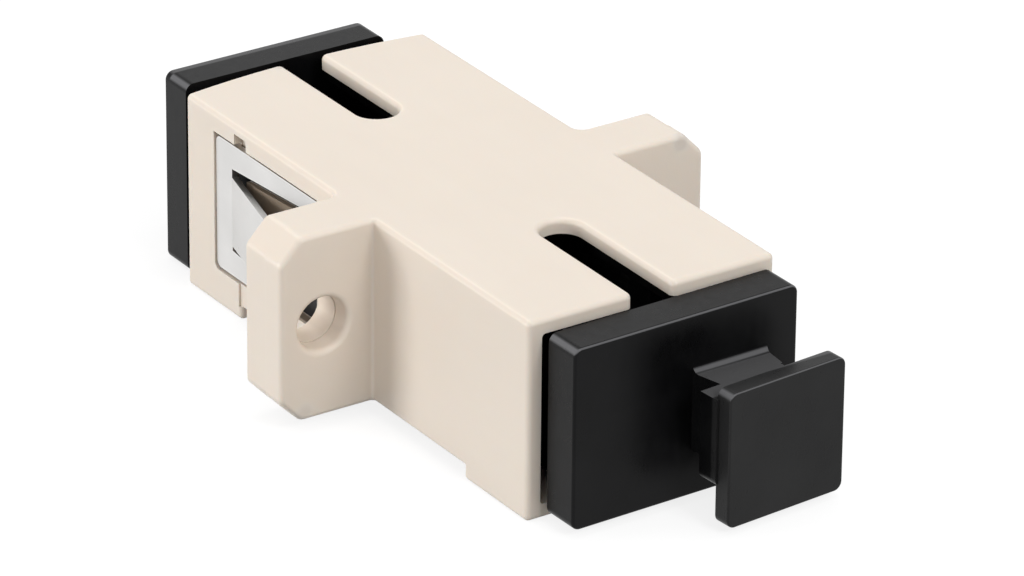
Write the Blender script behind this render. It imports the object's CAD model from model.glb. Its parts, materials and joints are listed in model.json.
import json
import math

import bpy
from mathutils import Matrix, Vector


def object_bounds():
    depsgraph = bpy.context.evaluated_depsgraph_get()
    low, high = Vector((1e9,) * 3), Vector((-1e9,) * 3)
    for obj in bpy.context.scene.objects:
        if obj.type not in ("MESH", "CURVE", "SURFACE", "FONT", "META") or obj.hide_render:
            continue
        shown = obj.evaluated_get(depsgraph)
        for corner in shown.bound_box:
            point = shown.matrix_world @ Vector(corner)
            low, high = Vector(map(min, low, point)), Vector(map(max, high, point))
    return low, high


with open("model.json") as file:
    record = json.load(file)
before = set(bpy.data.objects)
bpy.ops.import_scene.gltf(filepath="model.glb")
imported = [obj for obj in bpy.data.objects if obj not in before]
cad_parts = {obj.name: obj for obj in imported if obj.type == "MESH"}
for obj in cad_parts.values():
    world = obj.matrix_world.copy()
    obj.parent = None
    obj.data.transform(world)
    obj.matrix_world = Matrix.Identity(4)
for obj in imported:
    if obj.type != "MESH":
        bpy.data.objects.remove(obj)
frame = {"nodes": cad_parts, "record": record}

# A flanged fibre adapter with its spring clip and two dust caps, on a white floor. Metres.
# Every piece is a CAD node, so this file gives them their finishes and sets the studio and the camera.

MM = 0.001
CAD_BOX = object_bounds()

# Camera: where it aims in the part's frame, and how it stands round that point
CAMERA_AIM = Vector((0.00118, -0.00135, -0.00102))
CAMERA_DISTANCE = 0.31725
CAMERA_AZIMUTH = -33.723
CAMERA_ELEVATION = 25.872
CAMERA_ROLL = 0.556
CAMERA_LENS = 252.34
CAMERA_SENSOR = 36.0

# Studio. The floor's paint is what lights the object from below, its glow and shade are what is seen.
WORLD_LIGHT = 0.6
WHITE_STRENGTH = 1.0
FLOOR_RADIUS = 0.9
FLOOR_SIDES = 96
FLOOR_PAINT = 0.2
FLOOR_GLOW = 0.82
FLOOR_SHADE = 0.25
LAMP_DISTANCE = 0.7
LAMPS = {
    "key": dict(direction=(-1.0, 0.5, 0.17), size=0.25, strength=0.53),
    "side": dict(direction=(-1.0, -0.5, 0.3), size=0.6, strength=0.1),
    "top": dict(direction=(0.1, 0.1, 1.0), size=0.4, strength=0.16),
    "front": dict(direction=(0.1, -1.0, 0.8), size=0.2, strength=0.3),
}

# A cap's handle, in millimetres from the middle of the sleeve: where its neck begins and where its plate does
NECK_FROM = 16.35
PLATE_FROM = 18.55

# The dull pockets in the housing's sides, behind the clip, in millimetres from the middle of the sleeve
POCKET_INSIDE = 5.7
POCKET_OUTSIDE = 6.1
POCKET_REAR = 11.5
POCKET_TOP = 3.4

# How many rays look for edges and for gaps, and half the width in millimetres of a change of finish
EDGE_RAYS = 8
GAP_RAYS = 12
HALF_STEP = 0.05


def rgba(red, green, blue):
    return (red, green, blue, 1.0)


BEIGE = (rgba(0.82, 0.725, 0.625), rgba(0.85, 0.76, 0.66))
BEIGE_EDGE = rgba(0.88, 0.80, 0.71)
BEIGE_BEVEL = rgba(0.70, 0.61, 0.52)
BEIGE_POCKET = rgba(0.28, 0.22, 0.165)
BEIGE_GAP = rgba(0.06, 0.035, 0.02)
CAP_BLOCK = (rgba(0.002, 0.002, 0.0022), rgba(0.006, 0.006, 0.0065))
CAP_PLATE = (rgba(0.017, 0.017, 0.0173), rgba(0.024, 0.024, 0.0243))
CAP_WORN = rgba(0.125, 0.125, 0.13)
CAP_GAP = rgba(0.001, 0.001, 0.001)
CAP_DUST = rgba(0.085, 0.085, 0.087)
INSERT_BLACK = (rgba(0.012, 0.012, 0.013), rgba(0.02, 0.02, 0.021))
INSERT_EDGE = rgba(0.05, 0.05, 0.052)
STEEL = (rgba(0.62, 0.612, 0.60), rgba(0.68, 0.672, 0.66))
STEEL_EDGE = rgba(0.80, 0.79, 0.78)
BRONZE = (rgba(0.62, 0.36, 0.20), rgba(0.74, 0.48, 0.28))
BRONZE_EDGE = rgba(0.88, 0.64, 0.42)
WHITE = rgba(1.0, 1.0, 1.0)


class Finish:
    """One node material, with short calls for the few kinds of node that the finishes share."""

    def __init__(self, name):
        self.data = bpy.data.materials.new(name)
        self.data.use_nodes = True
        self.tree = self.data.node_tree
        self.tree.nodes.clear()
        self.place = self.node("ShaderNodeTexCoord").outputs["Object"]
        self.place_mm = self.node("ShaderNodeVectorMath", {0: self.place, "Scale": 1 / MM}, operation="SCALE")

    def node(self, kind, inputs=None, **settings):
        """A new node. inputs gives its sockets, each a value or what is linked to it."""
        made = self.tree.nodes.new(kind)
        for name, value in settings.items():
            setattr(made, name, value)
        for key, value in (inputs or {}).items():
            self.feed(made.inputs[key], value)
        return made

    def feed(self, socket, value):
        if isinstance(value, bpy.types.NodeSocket):
            self.tree.links.new(value, socket)
        elif isinstance(value, bpy.types.Node):
            self.tree.links.new(value.outputs[0], socket)
        else:
            socket.default_value = value

    def plus(self, first, second):
        return self.node("ShaderNodeMath", {0: first, 1: second}, operation="ADD")

    def times(self, first, second):
        return self.node("ShaderNodeMath", {0: first, 1: second}, operation="MULTIPLY")

    def either_way(self, value):
        """The value without its sign."""
        return self.node("ShaderNodeMath", {0: value}, operation="ABSOLUTE")

    def spread(self, value, low, high, source=(0.25, 0.75)):
        """A value that runs over source, mapped to run from low to high."""
        return self.node("ShaderNodeMapRange", {
            "Value": value, "From Min": source[0], "From Max": source[1], "To Min": low, "To Max": high})

    def beyond(self, value, limit):
        """1 where value is above limit and 0 where it is below."""
        return self.spread(value, 0.0, 1.0, (limit - HALF_STEP, limit + HALF_STEP))

    def within(self, value, limit):
        """1 where value is below limit and 0 where it is above."""
        return self.spread(value, 1.0, 0.0, (limit - HALF_STEP, limit + HALF_STEP))

    def mix(self, share, first, second):
        """A colour between first and second."""
        made = self.node("ShaderNodeMix", data_type="RGBA")
        self.feed(made.inputs["Factor"], share)
        self.feed(made.inputs["A"], first)
        self.feed(made.inputs["B"], second)
        return made.outputs["Result"]

    def between(self, value, pair):
        """A colour of the pair, the first where value is low and the second where it is high."""
        return self.mix(value, pair[0], pair[1])

    def noise(self, size_mm, detail=2.0, stretch=(1.0, 1.0, 1.0)):
        """Soft noise from 0 to 1 with grains about size_mm wide, longer along an axis with more stretch."""
        scale = [1 / (size_mm * longer) for longer in stretch]
        squeezed = self.node("ShaderNodeVectorMath", {0: self.place_mm, 1: scale}, operation="MULTIPLY")
        made = self.node("ShaderNodeTexNoise", {"Vector": squeezed, "Scale": 1.0, "Detail": detail})
        return made.outputs[0]

    def convex(self, reach_mm):
        """1 on outer edges and corners, falling to 0 on a face reach_mm away from them."""
        inside = self.node("ShaderNodeAmbientOcclusion", {"Distance": reach_mm * MM},
                           inside=True, only_local=True, samples=EDGE_RAYS)
        return self.spread(inside.outputs["AO"], 1.0, 0.0, (0.45, 0.98))

    def crevice(self, reach_mm, deepest, open_from):
        """1 deep inside the piece's own gaps, falling to 0 where little of it stands within reach_mm."""
        around = self.node("ShaderNodeAmbientOcclusion", {"Distance": reach_mm * MM},
                           only_local=True, samples=GAP_RAYS)
        return self.spread(around.outputs["AO"], 1.0, 0.0, (deepest, open_from))

    def facing(self, axis):
        """How far a face looks along an axis: 1 straight along it, 0 square to it, -1 the other way."""
        normal = self.node("ShaderNodeNewGeometry").outputs["Normal"]
        return self.node("ShaderNodeSeparateXYZ", {0: normal}).outputs[axis]

    def slope(self):
        """1 on bevels and roundings that look upwards and outwards, 0 on level and upright faces."""
        upward = self.facing(2)
        off_upright = self.spread(upward, 0.0, 1.0, (0.3, 0.55))
        off_level = self.spread(upward, 1.0, 0.0, (0.82, 0.95))
        return self.times(off_upright, off_level)

    def distance(self, axis):
        """How far a place is from the middle of the sleeve along one axis, in millimetres."""
        return self.either_way(self.node("ShaderNodeSeparateXYZ", {0: self.place_mm}).outputs[axis])

    def bump(self, height, depth_mm):
        return self.node("ShaderNodeBump", {"Height": height, "Distance": depth_mm * MM, "Strength": 1.0})

    def surface(self, **sockets):
        """Ends the material in a principled shader, whose sockets are named with underscores for spaces."""
        inputs = {key.replace("_", " "): value for key, value in sockets.items()}
        shader = self.node("ShaderNodeBsdfPrincipled", inputs)
        self.node("ShaderNodeOutputMaterial", {"Surface": shader})
        return self.data


def beige_plastic():
    """Satin moulded beige: faint cloudiness, a fine grain, paler edges, duller bevels and pockets."""
    finish = Finish("beige_plastic")
    edge = finish.convex(0.35)
    cloud = finish.noise(6.0, 3.0)
    streak = finish.noise(1.2, 2.0, (1.0, 7.0, 1.0))
    grain = finish.noise(0.09, 2.0)
    shade = finish.plus(finish.spread(cloud, 0.0, 0.7), finish.spread(streak, 0.0, 0.3))
    body = finish.mix(finish.times(edge, 0.3), finish.between(shade, BEIGE), BEIGE_EDGE)
    sideways = finish.spread(finish.either_way(finish.facing(0)), 0.0, 0.6, (0.2, 0.6))
    bevelled = finish.mix(finish.times(finish.slope(), sideways), body, BEIGE_BEVEL)
    across = finish.distance(0)
    wall = finish.times(finish.beyond(across, POCKET_INSIDE), finish.within(across, POCKET_OUTSIDE))
    reach = finish.times(finish.within(finish.distance(1), POCKET_REAR),
                         finish.within(finish.distance(2), POCKET_TOP))
    pocketed = finish.mix(finish.times(wall, reach), bevelled, BEIGE_POCKET)
    colour = finish.mix(finish.crevice(2.2, 0.06, 0.48), pocketed, BEIGE_GAP)
    roughness = finish.plus(finish.spread(cloud, 0.40, 0.46), finish.times(edge, -0.08))
    return finish.surface(
        Base_Color=colour, Roughness=roughness, Normal=finish.bump(grain, 0.003), Subsurface_Weight=0.15,
        Subsurface_Radius=(1.0, 0.65, 0.4), Subsurface_Scale=0.5 * MM, IOR=1.5)


def soft_black():
    """Satin black soft plastic of the caps: fine grain and scuffs, paler edges, dust on the handle's neck."""
    finish = Finish("soft_black")
    cloud = finish.noise(3.0, 3.0)
    scuff = finish.noise(0.35, 4.0, (1.0, 1.0, 2.5))
    grain = finish.noise(0.07, 2.0)
    mottle = finish.spread(cloud, 0.0, 1.0)
    reach = finish.distance(1)
    plate = finish.beyond(reach, PLATE_FROM)
    neck = finish.times(finish.beyond(reach, NECK_FROM), finish.within(reach, PLATE_FROM))
    off_neck = finish.spread(neck, 1.0, 0.0, (0.0, 1.0))
    body = finish.mix(plate, finish.between(mottle, CAP_BLOCK), finish.between(mottle, CAP_PLATE))
    worn = finish.mix(finish.times(finish.slope(), off_neck), body, CAP_WORN)
    shut = finish.mix(finish.crevice(1.5, 0.08, 0.58), worn, CAP_GAP)
    level = finish.spread(finish.facing(2), 0.0, 1.0, (0.8, 0.98))
    colour = finish.mix(finish.times(neck, level), shut, CAP_DUST)
    roughness = finish.plus(finish.spread(cloud, 0.26, 0.34), finish.spread(scuff, -0.04, 0.06))
    relief = finish.plus(finish.times(grain, 0.6), finish.times(scuff, 0.4))
    return finish.surface(
        Base_Color=colour, Roughness=roughness, Normal=finish.bump(relief, 0.003),
        IOR=1.45, Specular_IOR_Level=0.15)


def hard_black():
    """Harder black plastic of the latch inserts, with flow lines along the optical axis."""
    finish = Finish("hard_black")
    edge = finish.convex(0.2)
    flow = finish.noise(0.8, 3.0, (1.0, 6.0, 1.0))
    grain = finish.noise(0.08, 2.0)
    body = finish.between(finish.spread(flow, 0.0, 1.0), INSERT_BLACK)
    return finish.surface(
        Base_Color=finish.mix(finish.times(edge, 0.6), body, INSERT_EDGE),
        Roughness=finish.spread(flow, 0.3, 0.42), Normal=finish.bump(grain, 0.003),
        IOR=1.5, Specular_IOR_Level=0.2)


def spring_steel():
    """Rolled stainless strip: long fine rolling lines, bright edges where it was cut."""
    finish = Finish("spring_steel")
    edge = finish.convex(0.12)
    rolling = finish.noise(0.05, 3.0, (1.0, 60.0, 1.0))
    cloud = finish.noise(2.5, 2.0)
    body = finish.between(finish.spread(cloud, 0.0, 1.0), STEEL)
    return finish.surface(
        Base_Color=finish.mix(finish.times(edge, 0.5), body, STEEL_EDGE), Metallic=1.0,
        Roughness=finish.plus(finish.spread(cloud, 0.28, 0.36), finish.spread(rolling, -0.03, 0.05)),
        Normal=finish.bump(rolling, 0.0006))


def phosphor_bronze():
    """Drawn and polished bronze strip, rolled into the sleeve."""
    finish = Finish("phosphor_bronze")
    edge = finish.convex(0.1)
    drawn = finish.noise(0.04, 3.0, (1.0, 50.0, 1.0))
    tarnish = finish.noise(1.4, 4.0)
    body = finish.between(finish.spread(tarnish, 0.0, 1.0), BRONZE)
    return finish.surface(
        Base_Color=finish.mix(finish.times(edge, 0.6), body, BRONZE_EDGE), Metallic=1.0,
        Roughness=finish.plus(finish.spread(tarnish, 0.18, 0.3), finish.spread(drawn, -0.02, 0.03)),
        Normal=finish.bump(drawn, 0.0005))


def finish_nodes():
    """Gives each CAD node its finish, by the material slot that the record names for it."""
    finishes = {
        "housing": beige_plastic(),
        "latch_insert": hard_black(),
        "split_sleeve": phosphor_bronze(),
        "panel_clip": spring_steel(),
        "dust_cap": soft_black(),
    }
    for subpart in frame["record"]["subparts"]:
        piece = frame["nodes"][subpart["node"]]
        for number in range(len(piece.material_slots)):
            piece.material_slots[number].material = finishes[subpart["material_slot"]]


def seen_or_mirrored(tree):
    """1 for rays from the camera and for rays that a glossy or clear surface sends on."""
    path = tree.nodes.new("ShaderNodeLightPath")
    total = path.outputs["Is Camera Ray"]
    for name in ("Is Glossy Ray", "Is Transmission Ray"):
        most = tree.nodes.new("ShaderNodeMath")
        most.operation = "MAXIMUM"
        tree.links.new(total, most.inputs[0])
        tree.links.new(path.outputs[name], most.inputs[1])
        total = most.outputs[0]
    return total


def white_background(tree, strength):
    made = tree.nodes.new("ShaderNodeBackground")
    made.inputs["Color"].default_value = WHITE
    made.inputs["Strength"].default_value = strength
    return made


def make_world():
    """White where it is seen or mirrored, and an even soft light elsewhere."""
    world = bpy.data.worlds.new("studio")
    world.use_nodes = True
    tree = world.node_tree
    tree.nodes.clear()
    mix = tree.nodes.new("ShaderNodeMixShader")
    out = tree.nodes.new("ShaderNodeOutputWorld")
    tree.links.new(seen_or_mirrored(tree), mix.inputs[0])
    tree.links.new(white_background(tree, WORLD_LIGHT).outputs[0], mix.inputs[1])
    tree.links.new(white_background(tree, WHITE_STRENGTH).outputs[0], mix.inputs[2])
    tree.links.new(mix.outputs[0], out.inputs["Surface"])
    bpy.context.scene.world = world


def floor_finish():
    """White floor that shows the object's soft shadow, and lets the underside be seen from below."""
    finish = Finish("white_floor")
    paint = finish.node("ShaderNodeBsdfDiffuse", {"Color": rgba(FLOOR_PAINT, FLOOR_PAINT, FLOOR_PAINT)})
    glow = finish.node("ShaderNodeEmission", {"Color": WHITE, "Strength": FLOOR_GLOW})
    shade = finish.node("ShaderNodeBsdfDiffuse", {"Color": rgba(FLOOR_SHADE, FLOOR_SHADE, FLOOR_SHADE)})
    seen = finish.node("ShaderNodeAddShader", {0: glow, 1: shade})
    both = finish.node("ShaderNodeMixShader", {0: seen_or_mirrored(finish.tree), 1: paint, 2: seen})
    clear = finish.node("ShaderNodeBsdfTransparent")
    behind = finish.node("ShaderNodeNewGeometry").outputs["Backfacing"]
    shader = finish.node("ShaderNodeMixShader", {0: behind, 1: both, 2: clear})
    finish.node("ShaderNodeOutputMaterial", {"Surface": shader})
    return finish.data


def make_floor():
    bpy.ops.mesh.primitive_circle_add(vertices=FLOOR_SIDES, radius=FLOOR_RADIUS, fill_type="NGON",
                                      location=(0, 0, CAD_BOX[0].z))
    floor = bpy.context.object
    floor.name = "floor"
    floor.data.materials.append(floor_finish())


def make_lamp(name, direction, size, strength):
    """A square soft lamp that shines at the origin. strength is the share of its colour that a matt surface
    facing the lamp sends back by it, so pi comes in twice: once for the lamp, once for the surface."""
    away = Vector(direction).normalized()
    data = bpy.data.lights.new(name, "AREA")
    data.shape = "SQUARE"
    data.size = size
    data.energy = strength * math.pi ** 2 * LAMP_DISTANCE ** 2
    lamp = bpy.data.objects.new(name, data)
    lamp.location = away * LAMP_DISTANCE
    lamp.rotation_mode = "QUATERNION"
    lamp.rotation_quaternion = away.to_track_quat("Z", "Y")
    lamp.visible_camera = False
    bpy.context.scene.collection.objects.link(lamp)


def make_camera():
    data = bpy.data.cameras.new("camera")
    data.lens = CAMERA_LENS
    data.sensor_width = CAMERA_SENSOR
    camera = bpy.data.objects.new("camera", data)
    turn = (Matrix.Rotation(math.radians(CAMERA_AZIMUTH), 4, "Z")
            @ Matrix.Rotation(math.radians(90 - CAMERA_ELEVATION), 4, "X"))
    back = turn @ Vector((0, 0, 1))
    camera.matrix_world = (Matrix.Translation(CAMERA_AIM + back * CAMERA_DISTANCE) @ turn
                           @ Matrix.Rotation(math.radians(CAMERA_ROLL), 4, "Z"))
    bpy.context.scene.collection.objects.link(camera)
    bpy.context.scene.camera = camera


finish_nodes()
make_world()
make_floor()
for lamp_name, lamp_settings in LAMPS.items():
    make_lamp(lamp_name, **lamp_settings)
make_camera()
bpy.context.scene.view_settings.view_transform = "Standard"
